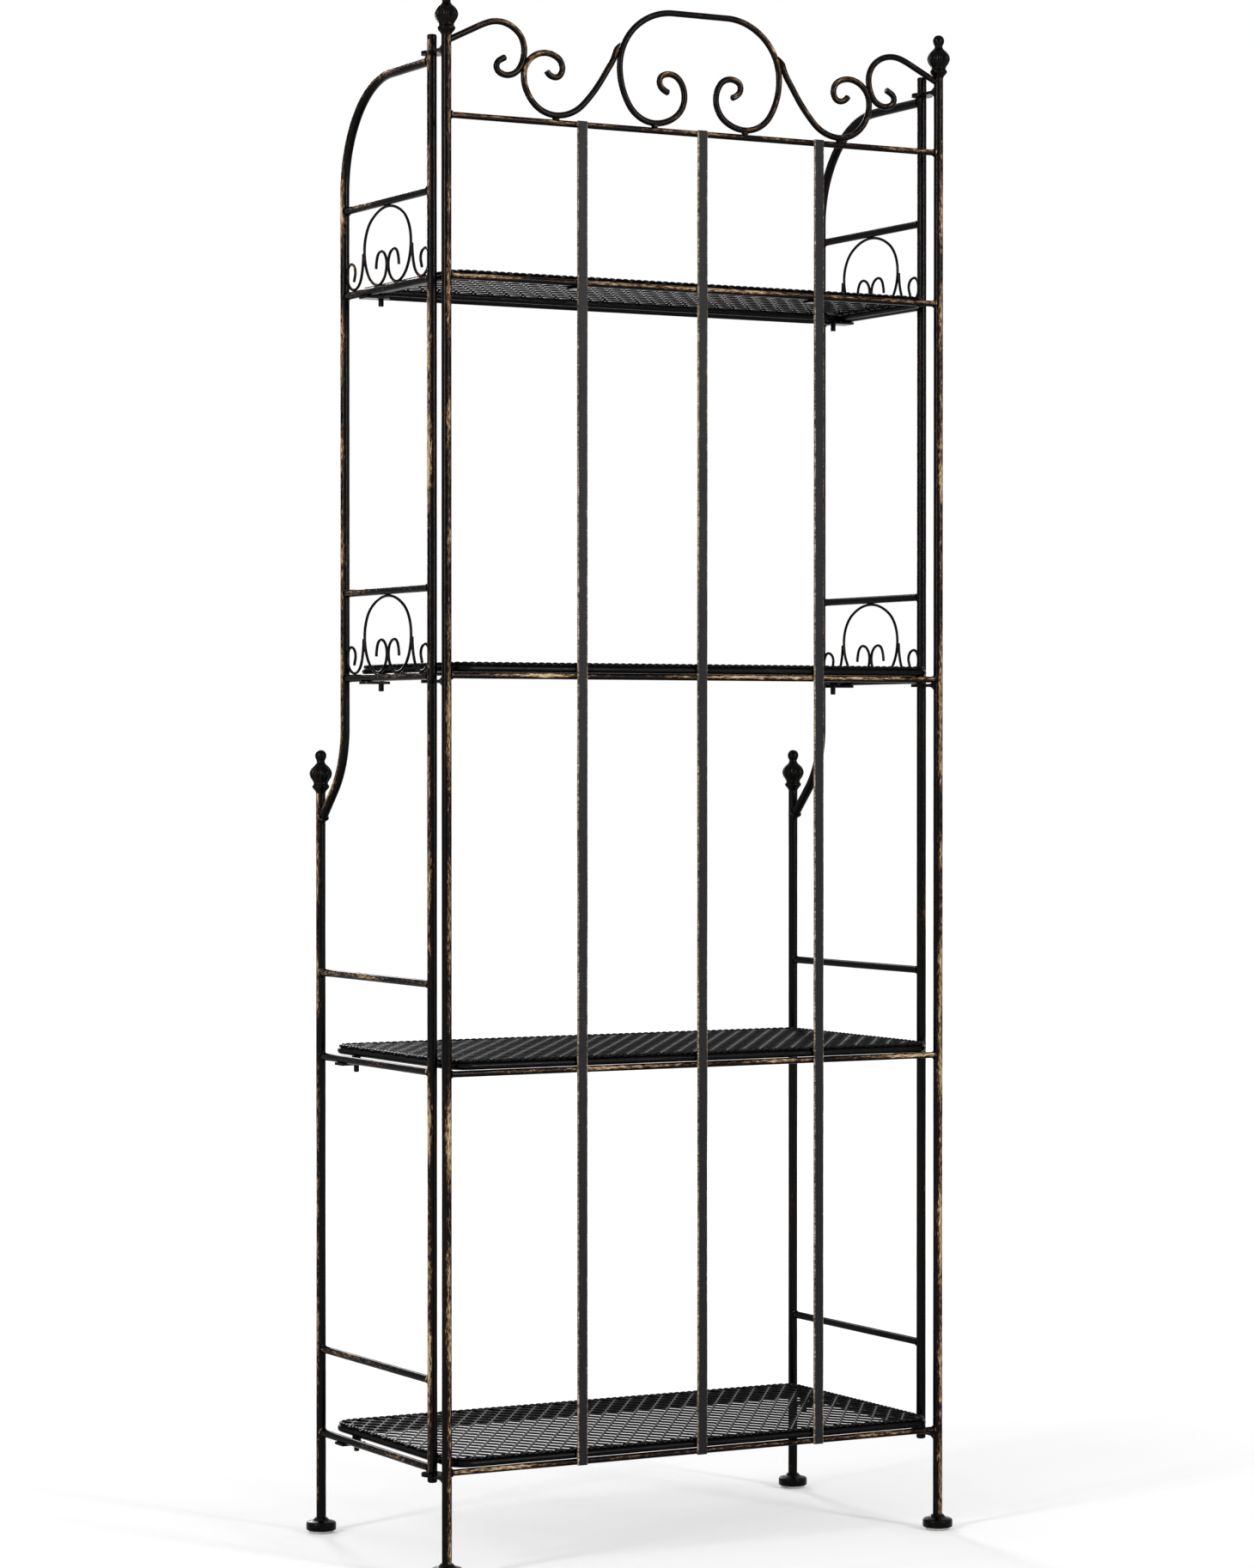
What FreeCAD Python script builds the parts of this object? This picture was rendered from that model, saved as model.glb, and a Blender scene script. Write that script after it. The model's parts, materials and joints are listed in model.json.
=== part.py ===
"""Folding bakers rack of steel rod: a back panel, two hinged side panels and four lift-out mesh shelves.

Millimetres. +Z is up, the front faces -Y and the back panel stands at +Y. The origin is on the floor,
under the middle of the feet. Left and right are as seen by someone who stands in front of the rack.
"""
import FreeCAD
import Part
import math
import os

# Overall layout
back_width = 624.0          # between the axes of the two back posts
hinge_offset = 35.0         # side panel's rear post, in front of the back post
side_depth = 285.0          # side panel's rear post to its front post
stile_setback = 65.0        # upper stile behind the front post
first_rail_height = 114.0
shelf_spacing = 427.0
shelf_count = 4
lower_shelf_count = 2       # shelves that reach the front posts; the others reach the stiles
guard_rise = 95.0           # guard rail above its shelf rail
top_rail_rise = 171.5       # back panel's top rail above its highest shelf rail

# Bar stock
post_diameter = 10.8
post_wall = 1.2
stile_step = 0.4            # stile thinner than the posts
rail_diameter = 8.5         # rails of the side panels
back_rail_diameter = 7.0
crest_diameter = 7.0
wire_diameter = 3.2
flat_bar_width = 12.0
flat_bar_thickness = 3.0
flat_bar_spacing = 150.0
weld_bite = 0.3             # how far a rod is let into the one it is welded to

# Upper stile of a side panel
stile_spring_drop = 162.0   # where it leaves the front post, below the first rail that it carries
stile_spring_angle = 45.0
stile_bend_share = 0.45     # share of the setback that the bend takes
stile_rise = 62.5           # its top above the back panel's top rail
stile_arch_radius = 118.0
front_post_head = 34.0      # front post above the place where the stile leaves it

# Hinges
lug_thickness = 3.5
lug_radius = 12.0
hinge_clearance = 0.3
hinge_end_play = 0.3
rear_post_tail = 7.0        # rear post below its lowest lug
rear_post_head = 14.0       # rear post above its highest lug
back_post_head = 14.0       # back post above its highest lug
cap_skirt = 3.5
cap_rise = 1.5
spigot_clearance = 0.1
spigot_length = 10.0
closed_end = 4.0            # solid bottom end of a rear post

# Finials
finial_foot_radius = 6.6
finial_foot_rise = 5.5      # foot up to the collar
finial_collar_radius = 9.8
finial_collar_thickness = 3.0
finial_waist_radius = 8.2
finial_waist_rise = 2.0     # collar up to the waist
finial_bulb_radius = 12.8
finial_neck_radius = 4.5
finial_neck_length = 4.5
finial_ball_radius = 6.5

# Feet
glide_radius = 14.0
glide_thickness = 3.0
foot_radius = 17.0
foot_edge = 1.0
foot_wall_height = 8.0
foot_height = 14.0
foot_top_radius = 11.0
foot_socket_floor = 5.0
socket_clearance = 0.1

# Shelves
shelf_rod_diameter = 8.0
shelf_corner_radius = 20.0
shelf_side_clearance = 1.1  # shelf frame to the side panel's rear post
shelf_seat_gap = 0.3
shelf_seat_angle = 80.0     # where a shelf's rear rod sits on the back rail, up from level
sunk_shelf_count = 1        # shelves at the top that lie between the rails, on their tabs
shelf_front_setback = 15.0  # shelf's front rod behind the upright that it reaches
mesh_thickness = 1.5
mesh_overhang = 2.0         # mesh past the middle line of the shelf's rod
mesh_border = 7.0
mesh_pitch_across = 29.0    # wished for; whole diamonds are fitted between the borders
mesh_pitch_deep = 39.0
mesh_strand = 3.0

# Shelf tabs and pegs
tab_setback = 56.0          # tab's middle line behind the upright
tab_nose = 8.0              # tab past the peg's axis
tab_width = 20.0
tab_thickness = 3.0
tab_corner = 5.0
peg_inset = 18.0            # peg's axis inside the side panel's plane
peg_diameter = 6.0
peg_slot_clearance = 1.5
peg_drop = 8.0              # peg below its tab
collar_diameter = 10.0

# Rests that carry the rear rod of a sunk shelf
rest_spacing = 150.0
rest_width = 16.0
rest_reach = 15.0           # in front of the back rail's axis
rest_thickness = 3.0

# Crest: places across are shares of the half width, heights are above the scrolls' lowest points
standoff_height = 1.2
standoff_diameter = 5.6
arch_widest = 0.324
arch_curl = [(0.128, 34.5, 15), (0.165, 46.2, 90), (0.125, 55.0, 180), (0.064, 31.5, 270),
             (0.183, 0.0, 0), (arch_widest, 58.5, 90), (0.109, 122.0, 180)]
scroll_curl = [(0.613, 47.2, 240), (0.579, 41.0, 180), (0.551, 51.5, 90), (0.615, 66.5, 0),
               (0.702, 40.5, 270), (0.576, 0.0, 180), (0.392, 44.5, 122)]
scroll_joint_height = 76.0
scroll_joint_lean = 2.3     # how far the arch has bent in at that height
scroll_joint_heading = 104
end_scroll_drop = 7.0       # where it leaves the back post, below the post's top
end_scroll_start_slope = 26
end_scroll_straight = 0.125
end_scroll_curl = [(0.801, 96.0, 180), (0.700, 67.5, 270), (0.769, 39.1, 0), (0.808, 48.0, 90),
                   (0.773, 58.2, 155)]

# Side panel ornament. The lyre's width is a share of the panel's half depth, and its points are shares
# of its half width and height. A hook's points are shares of its width, out from the lyre, and of the
# height.
lyre_width_share = 0.533
lyre_side_share = 0.48
lyre_curl = [(0.490, 0.210, 92), (0.285, 0.430, 180), (0.035, 0.250, 270), (0.400, 0.0, 0)]
hook_curl = [(0.0, 0.450, 270), (0.560, 0.0, 0), (1.0, 0.200, 90), (0.770, 0.347, 180),
             (0.500, 0.230, 270), (0.580, 0.105, 285)]

# Worked out
post_radius = post_diameter / 2
post_bore_radius = post_radius - post_wall
stile_radius = post_radius - stile_step / 2
rail_radius = rail_diameter / 2
back_rail_radius = back_rail_diameter / 2
crest_radius = crest_diameter / 2
wire_radius = wire_diameter / 2
shelf_rod_radius = shelf_rod_diameter / 2
peg_radius = peg_diameter / 2

post_x = back_width / 2
back_y = (hinge_offset + side_depth) / 2
rear_y = back_y - hinge_offset
stile_depth = side_depth - stile_setback

rail_heights = [first_rail_height + level * shelf_spacing for level in range(shelf_count)]
top_rail_height = rail_heights[-1] + top_rail_rise
stile_spring_height = rail_heights[lower_shelf_count] - stile_spring_drop
stile_top_height = top_rail_height + stile_rise
front_post_top = stile_spring_height + front_post_head
lug_drop = rail_radius + hinge_end_play + lug_thickness
top_lug_height = stile_top_height + stile_radius + hinge_end_play
lug_heights = [rail_heights[0] - lug_drop, rail_heights[lower_shelf_count] - lug_drop, top_lug_height]
rear_post_bottom = lug_heights[0] - rear_post_tail
rear_post_top = top_lug_height + lug_thickness + rear_post_head
back_post_top = top_lug_height + lug_thickness + back_post_head
post_bottom = glide_thickness + foot_socket_floor

seat_distance = back_rail_radius + shelf_rod_radius + shelf_seat_gap
seated_rise = seat_distance * math.sin(math.radians(shelf_seat_angle))
seated_offset = seat_distance * math.cos(math.radians(shelf_seat_angle))
tab_top = weld_bite - rail_radius
rest_top = weld_bite - back_rail_radius
sunk_rise = max(tab_top, rest_top) + shelf_seat_gap + shelf_rod_radius
shelf_side_inset = post_radius + shelf_side_clearance + shelf_rod_radius
crest_base_height = top_rail_height + back_rail_radius + standoff_height + crest_radius

sides = {"left": -1, "right": 1}
parts = {}


def vector(x, y, z):
    return FreeCAD.Vector(x, y, z)


def cylinder(start, end, radius):
    along = end - start
    return Part.makeCylinder(radius, along.Length, start, along)


def upright(x, y, bottom, top, radius=post_radius):
    return cylinder(vector(x, y, bottom), vector(x, y, top), radius)


def box(low, high):
    size = high - low
    return Part.makeBox(size.x, size.y, size.z, low)


def turned(outline, x, y, z):
    """A solid of revolution: the outline's edges are in the XZ plane, and the Z axis closes it."""
    wire = Part.Wire(outline)
    solid = Part.Face(wire).revolve(vector(0, 0, 0), vector(0, 0, 1), 360)
    solid.translate(vector(x, y, z))
    return solid


def line(start, end):
    return Part.LineSegment(vector(start[0], 0, start[1]), vector(end[0], 0, end[1])).toShape()


def lines(points):
    return [line(start, end) for start, end in zip(points, points[1:])]


def arc(start, middle, end):
    return Part.Arc(*(vector(point[0], 0, point[1]) for point in (start, middle, end))).toShape()


# Bent rods. A path lies in a plane, and its points carry a heading in degrees.

def arc_middle(start, end, heading):
    """Middle of the arc that leaves start along heading and ends at end."""
    chord = end - start
    along = FreeCAD.Vector(chord).normalize()
    across = heading - along * heading.dot(along)
    half_turn = math.atan2(across.Length, heading.dot(along))
    bulge = chord.Length / 2 * math.tan(half_turn / 2)
    return start + chord / 2 + FreeCAD.Vector(across).normalize() * bulge


def biarc(start, start_heading, end, end_heading):
    """Two arcs that join two points smoothly, each as start, middle and end."""
    chord = end - start
    both = start_heading + end_heading
    spread = 2 * (1 - start_heading.dot(end_heading))
    if spread < 1e-9:
        reach = chord.dot(chord) / (4 * chord.dot(end_heading))
    else:
        pull = chord.dot(both)
        reach = (math.sqrt(pull ** 2 + spread * chord.dot(chord)) - pull) / spread
    joint = (start + start_heading * reach + end - end_heading * reach) / 2
    return [(start, arc_middle(start, joint, start_heading), joint),
            (joint, arc_middle(end, joint, -end_heading), end)]


def path_edges(points, place):
    """Arcs and straight runs through points (across, up, heading), put into space by place."""
    edges = []
    for (a0, b0, h0), (a1, b1, h1) in zip(points, points[1:]):
        start = vector(a0, b0, 0)
        end = vector(a1, b1, 0)
        headings = [vector(math.cos(math.radians(h)), math.sin(math.radians(h)), 0) for h in (h0, h1)]
        if max(heading.cross(end - start).Length for heading in headings) < 1e-6:
            edges.append(Part.LineSegment(place(a0, b0), place(a1, b1)).toShape())
            continue
        for bend in biarc(start, headings[0], end, headings[1]):
            edges.append(Part.Arc(*(place(point.x, point.y) for point in bend)).toShape())
    return edges


def swept(edges, radius):
    first = edges[0]
    circle = Part.Circle(first.valueAt(first.FirstParameter), first.tangentAt(first.FirstParameter), radius)
    return Part.Wire(edges).makePipeShell([Part.Wire(circle.toShape())], True, False)


def mirrored(points):
    """The same path on the other side of the middle line, run back to its start."""
    return [(-across, up, -heading) for across, up, heading in reversed(points)]


# Pieces that repeat

def finial(x, y, z):
    spigot_radius = post_bore_radius - spigot_clearance
    collar_high = finial_foot_rise + finial_collar_thickness
    waist_height = collar_high + finial_waist_rise
    bulb_height = waist_height + math.sqrt(finial_bulb_radius ** 2 - finial_waist_radius ** 2)
    neck_low = bulb_height + math.sqrt(finial_bulb_radius ** 2 - finial_neck_radius ** 2)
    neck_high = neck_low + finial_neck_length
    ball_height = neck_high + math.sqrt(finial_ball_radius ** 2 - finial_neck_radius ** 2)
    ball_top = ball_height + finial_ball_radius
    below = [(0, ball_top), (0, -spigot_length), (spigot_radius, -spigot_length), (spigot_radius, 0),
             (finial_foot_radius, 0), (finial_collar_radius, finial_foot_rise),
             (finial_collar_radius, collar_high), (finial_waist_radius, waist_height)]
    bulb = arc(below[-1], (finial_bulb_radius, bulb_height), (finial_neck_radius, neck_low))
    neck = line((finial_neck_radius, neck_low), (finial_neck_radius, neck_high))
    ball = arc((finial_neck_radius, neck_high), (finial_ball_radius, ball_height), (0, ball_top))
    return turned(lines(below) + [bulb, neck, ball], x, y, z)


def foot(x, y):
    socket_radius = post_radius + socket_clearance
    wall_top = foot_edge + foot_wall_height
    outline = [(0, 0), (foot_radius - foot_edge, 0), (foot_radius, foot_edge), (foot_radius, wall_top),
               (foot_top_radius, foot_height), (socket_radius, foot_height),
               (socket_radius, foot_socket_floor), (0, foot_socket_floor), (0, 0)]
    return turned(lines(outline), x, y, glide_thickness)


def glide(x, y):
    return upright(x, y, 0, glide_thickness, glide_radius)


def post_tube(x, y, bottom, top, bore_bottom):
    return upright(x, y, bottom, top).cut(upright(x, y, bore_bottom, top, post_bore_radius))


# Back panel

def back_panel():
    posts = [upright(sign * post_x, back_y, post_bottom, back_post_top) for sign in sides.values()]
    for side, sign in sides.items():
        x = sign * post_x
        parts[f"back_post_{side}"] = post_tube(x, back_y, post_bottom, back_post_top, post_bottom)
        parts[f"back_finial_{side}"] = finial(x, back_y, back_post_top)
        parts[f"back_foot_{side}"] = foot(x, back_y)
        parts[f"hinge_lugs_{side}"] = Part.makeCompound([hinge_lug(x, height) for height in lug_heights])
    parts["back_glides"] = Part.makeCompound([glide(sign * post_x, back_y) for sign in sides.values()])
    for level, height in enumerate(rail_heights, 1):
        parts[f"back_shelf_rail_{level}"] = back_rail(height, posts)
    parts["back_top_rail"] = back_rail(top_rail_height, posts)
    for place, name in enumerate(("left", "centre", "right"), -1):
        parts[f"back_bar_{name}"] = flat_bar(place * flat_bar_spacing)
    rests = [shelf_rest(sign * rest_spacing, height)
             for height in rail_heights[shelf_count - sunk_shelf_count:] for sign in sides.values()]
    parts["back_shelf_rests"] = Part.makeCompound(rests)


def back_rail(height, posts):
    rail = cylinder(vector(-post_x, back_y, height), vector(post_x, back_y, height), back_rail_radius)
    return rail.cut(Part.makeCompound(posts))


def flat_bar(x):
    rear_face = back_y + back_rail_radius
    low = vector(x - flat_bar_width / 2, rear_face, rail_heights[0] - back_rail_radius)
    high = vector(x + flat_bar_width / 2, rear_face + flat_bar_thickness, top_rail_height + back_rail_radius)
    return box(low, high)


def shelf_rest(x, rail_height):
    """A small plate under a back rail that reaches forward under a sunk shelf's rear rod."""
    top = rail_height + rest_top
    low = vector(x - rest_width / 2, back_y - rest_reach, top - rest_thickness)
    high = vector(x + rest_width / 2, back_y, top)
    rail_start = vector(x - rest_width, back_y, rail_height)
    rail = cylinder(rail_start, rail_start + vector(2 * rest_width, 0, 0), back_rail_radius)
    return box(low, high).cut(rail)


def hinge_lug(x, bottom):
    top = bottom + lug_thickness
    eye = upright(x, rear_y, bottom, top, lug_radius)
    neck = box(vector(x - post_radius, rear_y, bottom), vector(x + post_radius, back_y, top))
    back_post = upright(x, back_y, bottom, top)
    hole = upright(x, rear_y, bottom, top, post_radius + hinge_clearance)
    return eye.fuse(neck).cut(back_post).cut(hole).removeSplitter()


# Crest

def crest_place(sign):
    return lambda across, up: vector(sign * across, back_y, crest_base_height + up)


def spread_across(points):
    return [(share * post_x, up, heading) for share, up, heading in points]


def crest():
    half_arch = spread_across(arch_curl)
    arch_rod = swept(path_edges(half_arch + mirrored(half_arch), crest_place(1)), crest_radius)
    parts["crest_arch"] = arch_rod
    rail = parts["back_top_rail"]
    standoffs = []
    for side, sign in sides.items():
        place = crest_place(sign)
        joint_across = arch_widest * post_x - scroll_joint_lean + crest_diameter - weld_bite
        scroll = spread_across(scroll_curl) + [(joint_across, scroll_joint_height, scroll_joint_heading)]
        scroll_rod = swept(path_edges(scroll, place), crest_radius).cut(arch_rod)
        end_rod = swept(path_edges(end_scroll_start() + spread_across(end_scroll_curl), place), crest_radius)
        post = upright(sign * post_x, back_y, post_bottom, back_post_top)
        neighbours = [post, parts[f"back_finial_{side}"], parts[f"hinge_lugs_{side}"], scroll_rod]
        parts[f"crest_scroll_{side}"] = scroll_rod
        parts[f"crest_end_scroll_{side}"] = largest(end_rod.cut(neighbours))
        for lowest in (arch_curl[4][0], scroll_curl[5][0]):
            standoffs.append(standoff(place(lowest * post_x, 0)).cut(rail).cut(arch_rod).cut(scroll_rod))
    parts["crest_standoffs"] = Part.makeCompound([largest(piece) for piece in standoffs])


def end_scroll_start():
    """The straight run with which an end scroll leaves its back post."""
    low = back_post_top - end_scroll_drop - crest_base_height
    run = end_scroll_straight * post_x
    rise = run * math.tan(math.radians(end_scroll_start_slope))
    turn = 180 - end_scroll_start_slope
    return [(post_x, low, turn), (post_x - run, low + rise, turn)]


def standoff(top):
    return cylinder(vector(top.x, top.y, top_rail_height), top, standoff_diameter / 2)


def largest(shape):
    return max(shape.Solids, key=lambda solid: solid.Volume)


# Side panels

def front_upright_depth(level):
    return side_depth if level < lower_shelf_count else stile_depth


def side_place(sign):
    return lambda depth, up: vector(sign * post_x, rear_y - depth, up)


def stile_path(place):
    """Up from the front post: a slope, a bend and a long straight, then an arch over to the rear post."""
    turn = math.radians(stile_spring_angle)
    bend_setback = stile_bend_share * stile_setback
    bend_radius = bend_setback / (1 - math.cos(turn))
    slope_top = stile_spring_height + (stile_setback - bend_setback) * math.tan(turn)
    bend_top = slope_top + bend_radius * math.sin(turn)
    half = turn / 2
    bend_middle_depth = stile_depth + bend_radius * (1 - math.cos(half))
    bend_middle_height = bend_top - bend_radius * math.sin(half)
    arch_foot = stile_top_height - stile_arch_radius
    arch_start_depth = stile_depth - stile_arch_radius
    diagonal = stile_arch_radius * math.sqrt(0.5)
    foot_point = place(side_depth, stile_spring_height)
    slope_point = place(stile_depth + bend_setback, slope_top)
    bend_point = place(stile_depth, bend_top)
    arch_low = place(stile_depth, arch_foot)
    arch_high = place(arch_start_depth, stile_top_height)
    bend_middle = place(bend_middle_depth, bend_middle_height)
    arch_middle_point = place(arch_start_depth + diagonal, arch_foot + diagonal)
    return [Part.LineSegment(foot_point, slope_point).toShape(),
            Part.Arc(slope_point, bend_middle, bend_point).toShape(),
            Part.LineSegment(bend_point, arch_low).toShape(),
            Part.Arc(arch_low, arch_middle_point, arch_high).toShape(),
            Part.LineSegment(arch_high, place(0, stile_top_height)).toShape()]


def side_panel(side, sign):
    x = sign * post_x
    place = side_place(sign)
    front_y = rear_y - side_depth
    name = f"side_{side}"
    rear_post = upright(x, rear_y, rear_post_bottom, rear_post_top)
    front_post = upright(x, front_y, post_bottom, front_post_top)
    stile = largest(swept(stile_path(place), stile_radius).cut(rear_post).cut(front_post))
    parts[f"{name}_rear_post"] = post_tube(x, rear_y, rear_post_bottom, rear_post_top,
                                           rear_post_bottom + closed_end)
    parts[f"{name}_rear_cap"] = rear_cap(x)
    parts[f"{name}_front_post"] = post_tube(x, front_y, post_bottom, front_post_top, post_bottom)
    parts[f"{name}_front_finial"] = finial(x, front_y, front_post_top)
    parts[f"{name}_front_foot"] = foot(x, front_y)
    parts[f"{name}_front_glide"] = glide(x, front_y)
    parts[f"{name}_stile"] = stile
    uprights = Part.makeCompound([rear_post, front_post, stile])
    shelf_rails = [side_rail(place, level, 0, uprights) for level in range(shelf_count)]
    guard_rails = [side_rail(place, level, guard_rise, uprights) for level in range(shelf_count)]
    parts[f"{name}_shelf_rails"] = Part.makeCompound(shelf_rails)
    parts[f"{name}_guard_rails"] = Part.makeCompound(guard_rails)
    tabs = [shelf_tab(sign, level).cut(shelf_rails[level]) for level in range(shelf_count)]
    parts[f"{name}_shelf_tabs"] = Part.makeCompound(tabs)
    for level in range(lower_shelf_count, shelf_count):
        carriers = Part.makeCompound([uprights, shelf_rails[level], guard_rails[level]])
        parts[f"{name}_ornament_{level + 1}"] = ornament(place, level, carriers)


def rear_cap(x):
    spigot_radius = post_bore_radius - spigot_clearance
    dome_radius = (post_radius ** 2 + cap_rise ** 2) / (2 * cap_rise)
    dome_centre = cap_skirt + cap_rise - dome_radius
    half_turn = math.asin(post_radius / dome_radius) / 2
    dome_middle = (dome_radius * math.sin(half_turn), dome_centre + dome_radius * math.cos(half_turn))
    dome = arc((post_radius, cap_skirt), dome_middle, (0, cap_skirt + cap_rise))
    below = [(0, cap_skirt + cap_rise), (0, -spigot_length), (spigot_radius, -spigot_length),
             (spigot_radius, 0), (post_radius, 0), (post_radius, cap_skirt)]
    return turned(lines(below) + [dome], x, rear_y, rear_post_top)


def side_rail(place, level, rise, uprights):
    height = rail_heights[level] + rise
    rail = cylinder(place(0, height), place(front_upright_depth(level), height), rail_radius)
    return largest(rail.cut(uprights))


def shelf_tab(sign, level):
    """A flat tab under the side rail, with a slot for the shelf's peg that is open towards the shelf."""
    middle = rear_y - front_upright_depth(level) + tab_setback
    top = rail_heights[level] + tab_top
    bottom = top - tab_thickness
    outer = post_x + rail_radius
    inner = post_x - peg_inset - tab_nose
    plate = box(vector(inner, middle - tab_width / 2, bottom), vector(outer, middle + tab_width / 2, top))
    corners = [edge for edge in plate.Edges
               if edge.Length < tab_width and abs(edge.CenterOfMass.x - inner) < tab_corner / 2
               and abs(abs(edge.CenterOfMass.y - middle) - tab_width / 2) < tab_corner / 2]
    plate = plate.makeFillet(tab_corner, corners)
    slot_radius = peg_radius + peg_slot_clearance
    slot_end = upright(post_x - peg_inset, middle, bottom, top, slot_radius)
    slot = box(vector(inner - tab_corner, middle - slot_radius, bottom),
               vector(post_x - peg_inset, middle + slot_radius, top))
    plate = plate.cut(slot_end).cut(slot)
    return plate if sign > 0 else plate.mirror(vector(0, 0, 0), vector(1, 0, 0))


def ornament(place, level, carriers):
    """A lyre of wire between the shelf rail and the guard rail, with a hook on each side of it."""
    low = rail_heights[level] + rail_radius + wire_radius - weld_bite
    height = guard_rise - rail_diameter - wire_diameter + 2 * weld_bite
    middle = stile_depth / 2
    lyre_half_width = lyre_width_share * middle
    half_lyre = [(across * lyre_half_width, up * height, heading)
                 for across, up, heading in lyre_curl + [(1, lyre_side_share, 90)]]
    hook_start = lyre_half_width + wire_diameter - weld_bite
    hook_width = middle - post_radius - wire_radius + weld_bite - hook_start
    hook = [(hook_start + across * hook_width, up * height, heading) for across, up, heading in hook_curl]

    def shifted(flip):
        return lambda across, up: place(middle + flip * across, low + up)

    lyre_path = half_lyre + [(0, height, 180)] + mirrored(half_lyre)
    lyre = swept(path_edges(lyre_path, shifted(1)), wire_radius)
    hooks = [swept(path_edges(hook, shifted(flip)), wire_radius).cut(lyre) for flip in (-1, 1)]
    return Part.makeCompound([largest(wire.cut(carriers)) for wire in [lyre] + hooks])


# Shelves

def is_sunk(level):
    return level >= shelf_count - sunk_shelf_count


def shelf_rod_height(level):
    return rail_heights[level] + (sunk_rise if is_sunk(level) else seated_rise)


def shelf_rear_y(level):
    return back_y - (seat_distance if is_sunk(level) else seated_offset)


def shelf_front_y(level):
    return rear_y - front_upright_depth(level) + shelf_front_setback


def rounded_outline(half_width, front, rear, radius, height):
    """Edges of a rectangle with rounded corners, in order."""
    corners = [(half_width, rear), (-half_width, rear), (-half_width, front), (half_width, front)]
    inward = [(-1, -1), (1, -1), (1, 1), (-1, 1)]
    bends = []
    for turn, ((x, y), (sx, sy)) in enumerate(zip(corners, inward)):
        centre = vector(x + sx * radius, y + sy * radius, height)
        angles = [math.radians(90 * turn + step) for step in (0, 45, 90)]
        bends.append([centre + vector(math.cos(a), math.sin(a), 0) * radius for a in angles])
    edges = []
    for bend, following in zip(bends, bends[1:] + bends[:1]):
        edges.append(Part.Arc(*bend).toShape())
        edges.append(Part.LineSegment(bend[2], following[0]).toShape())
    return edges


def shelf_frame(level):
    half_width = post_x - shelf_side_inset
    edges = rounded_outline(half_width, shelf_front_y(level), shelf_rear_y(level), shelf_corner_radius,
                            shelf_rod_height(level))
    return swept(edges, shelf_rod_radius)


def shelf_mesh(level):
    """Expanded metal on top of the frame: one sheet with staggered diamond openings."""
    bottom = shelf_rod_height(level) + shelf_rod_radius
    half_width = post_x - shelf_side_inset + mesh_overhang
    front = shelf_front_y(level) - mesh_overhang
    rear = shelf_rear_y(level) + mesh_overhang
    corner_radius = shelf_corner_radius + mesh_overhang
    outline = Part.Wire(rounded_outline(half_width, front, rear, corner_radius, bottom))
    across = 2 * (half_width - mesh_border)
    deep = rear - front - 2 * mesh_border
    columns = round(across / mesh_pitch_across)
    rows = round(deep / mesh_pitch_deep)
    cell = (across / columns, deep / rows)
    middle = (front + rear) / 2
    holes = []
    for column in range(2 * columns - 1):
        for row in range(2 * rows - 1):
            if (column + row) % 2 == 0:
                x = (column - columns + 1) * cell[0] / 2
                y = middle + (row - rows + 1) * cell[1] / 2
                holes.append(diamond(vector(x, y, bottom), *cell))
    return Part.Face([outline] + holes).extrude(vector(0, 0, mesh_thickness))


def diamond(centre, across, deep):
    """A rhombus that leaves half a strand all round inside its cell."""
    slant = math.hypot(across, deep)
    half_across = vector(across / 2 - mesh_strand / 2 * slant / deep, 0, 0)
    half_deep = vector(0, deep / 2 - mesh_strand / 2 * slant / across, 0)
    tips = [centre + half_across, centre + half_deep, centre - half_across, centre - half_deep]
    return Part.makePolygon(tips + tips[:1])


def shelf_peg_bar(level, frame):
    """A cross bar under the mesh, with a shouldered peg near each end for the side panels' tabs."""
    height = shelf_rod_height(level)
    y = rear_y - front_upright_depth(level) + tab_setback
    reach = post_x - shelf_side_inset
    collar_bottom = rail_heights[level] + tab_top + shelf_seat_gap
    peg_bottom = rail_heights[level] + tab_top - tab_thickness - peg_drop
    bar = cylinder(vector(-reach, y, height), vector(reach, y, height), shelf_rod_radius)
    for sign in sides.values():
        x = sign * (post_x - peg_inset)
        collar = upright(x, y, collar_bottom, height, collar_diameter / 2)
        bar = bar.fuse(collar).fuse(upright(x, y, peg_bottom, height, peg_radius))
    return largest(bar.cut(frame))


def shelves():
    for level in range(shelf_count):
        frame = shelf_frame(level)
        parts[f"shelf_{level + 1}_frame"] = frame
        parts[f"shelf_{level + 1}_mesh"] = shelf_mesh(level)
        parts[f"shelf_{level + 1}_peg_bar"] = shelf_peg_bar(level, frame)


back_panel()
crest()
for side_name, side_sign in sides.items():
    side_panel(side_name, side_sign)
shelves()

os.makedirs("parts", exist_ok=True)
for node, shape in parts.items():
    shape.exportStep(f"parts/{node}.step")
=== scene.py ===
"""Looks of a folding bakers rack: brushed black rods, expanded-metal shelves, finials, feet and welds.

Metres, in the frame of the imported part: +Z is up, the front faces -Y and the back panel stands at +Y.
"""

import cmath
import json
import math
import random

import bpy
from mathutils import Matrix, Vector, noise

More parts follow.
